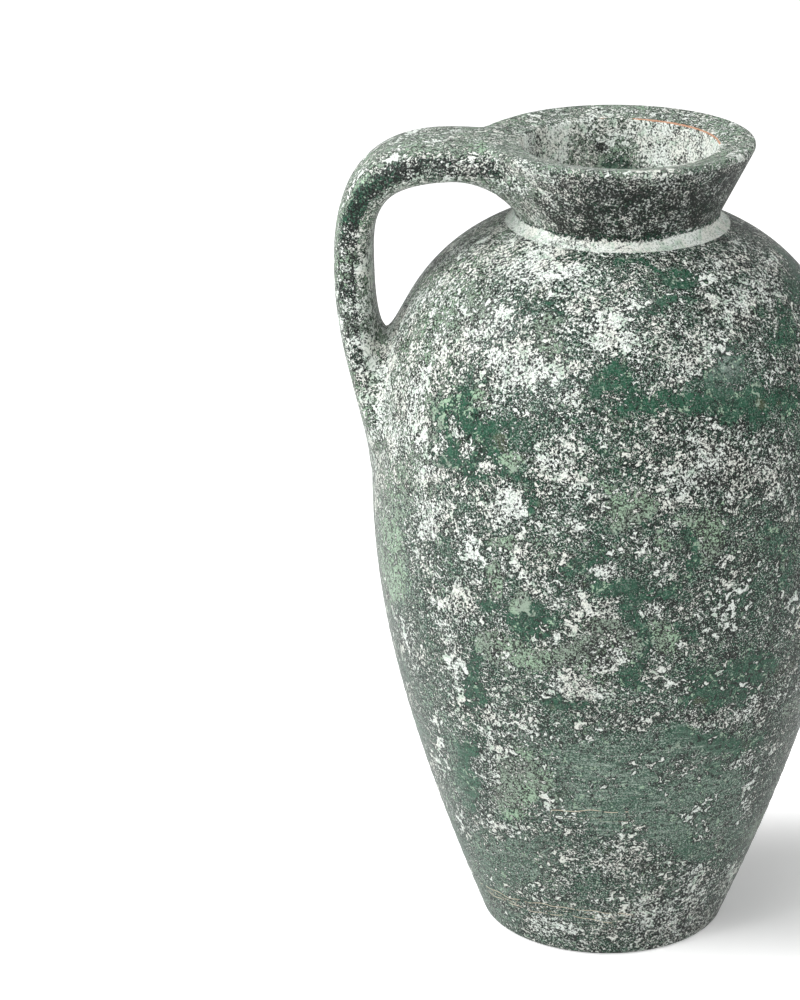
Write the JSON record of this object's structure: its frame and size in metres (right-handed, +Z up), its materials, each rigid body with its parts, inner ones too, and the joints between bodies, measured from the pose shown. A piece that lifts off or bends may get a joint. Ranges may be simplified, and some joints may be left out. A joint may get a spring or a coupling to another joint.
{
  "type": "jug vase",
  "caption": "Tall ceramic jug vase with an egg-shaped body, a short flared collar with a broad lip and one strap handle at the shoulder.",
  "frame": {"origin": "centre of the foot's flat face, on the surface the vase stands on", "axes": "+Z up along the axis of the pot, -X towards the handle, Y square to the handle's plane"},
  "size_m": [0.2831, 0.263, 0.45],
  "materials": {
    "glaze": "satin green glaze, worn and pitted over a pale slip",
    "slip": "matt pale slip with green stain"
  },
  "bodies": {
    "root": {"lower_body": "glaze", "upper_body": "glaze", "neck": "glaze", "neck_seam": "slip", "handle": "glaze", "handle_root_seam": "slip", "handle_top_seam": "glaze"}
  },
  "joints": []
}
